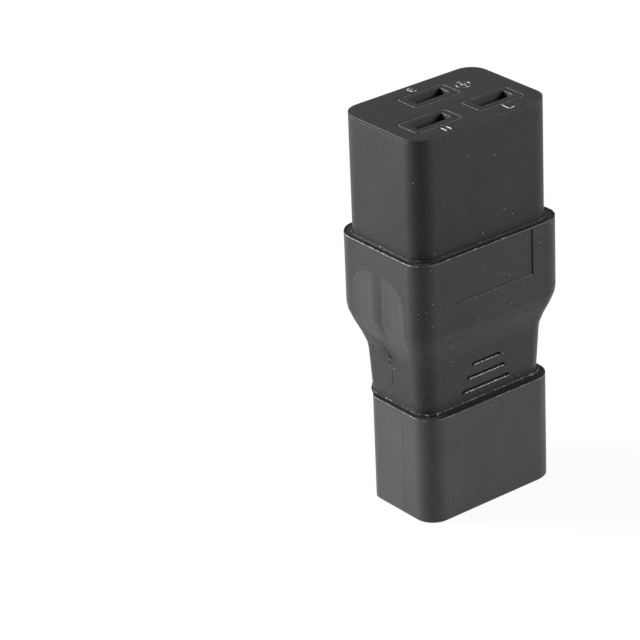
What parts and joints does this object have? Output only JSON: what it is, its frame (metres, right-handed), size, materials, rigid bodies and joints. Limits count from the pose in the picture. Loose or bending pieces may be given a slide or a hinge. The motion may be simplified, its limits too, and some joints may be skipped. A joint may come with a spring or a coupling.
{
  "type": "power connector adapter",
  "caption": "Straight power adapter: shrouded inlet pins at the foot, a slotted outlet nose at the head, and a waisted moulded grip with thumb recesses between them.",
  "frame": {"origin": "bottom centre of the inlet shroud's rim", "axes": "+Z from the inlet's rim up to the outlet's face, +X along the long side towards the line pole, +Y towards the earth pole and the shroud's chamfered corners"},
  "size_m": [0.0304, 0.0214, 0.068],
  "materials": {
    "shell_plastic": "fine spark-eroded satin black",
    "grip_plastic": "satin black overmoulding with a fine grain",
    "insert_plastic": "plain black insulator",
    "mould_plastic": "plain dark grey filling",
    "pin_metal": "nickel plated, satin",
    "contact_metal": "plain rolled strip",
    "conductor_metal": "bare copper strand",
    "line_sleeve_plastic": "brown insulation",
    "neutral_sleeve_plastic": "blue insulation",
    "earth_sleeve_plastic": "green insulation"
  },
  "bodies": {
    "root": {"inlet_shroud": "shell_plastic", "pin_carrier": "insert_plastic", "line_pin": "pin_metal", "neutral_pin": "pin_metal", "earth_pin": "pin_metal", "line_wire": "conductor_metal", "neutral_wire": "conductor_metal", "earth_wire": "conductor_metal", "line_sleeve": "line_sleeve_plastic", "neutral_sleeve": "neutral_sleeve_plastic", "earth_sleeve": "earth_sleeve_plastic", "line_contact": "contact_metal", "neutral_contact": "contact_metal", "earth_contact": "contact_metal", "inner_mould": "mould_plastic", "carrier_backplate": "insert_plastic", "contact_carrier": "insert_plastic", "outlet_housing": "shell_plastic", "grip_body": "grip_plastic"}
  },
  "joints": []
}
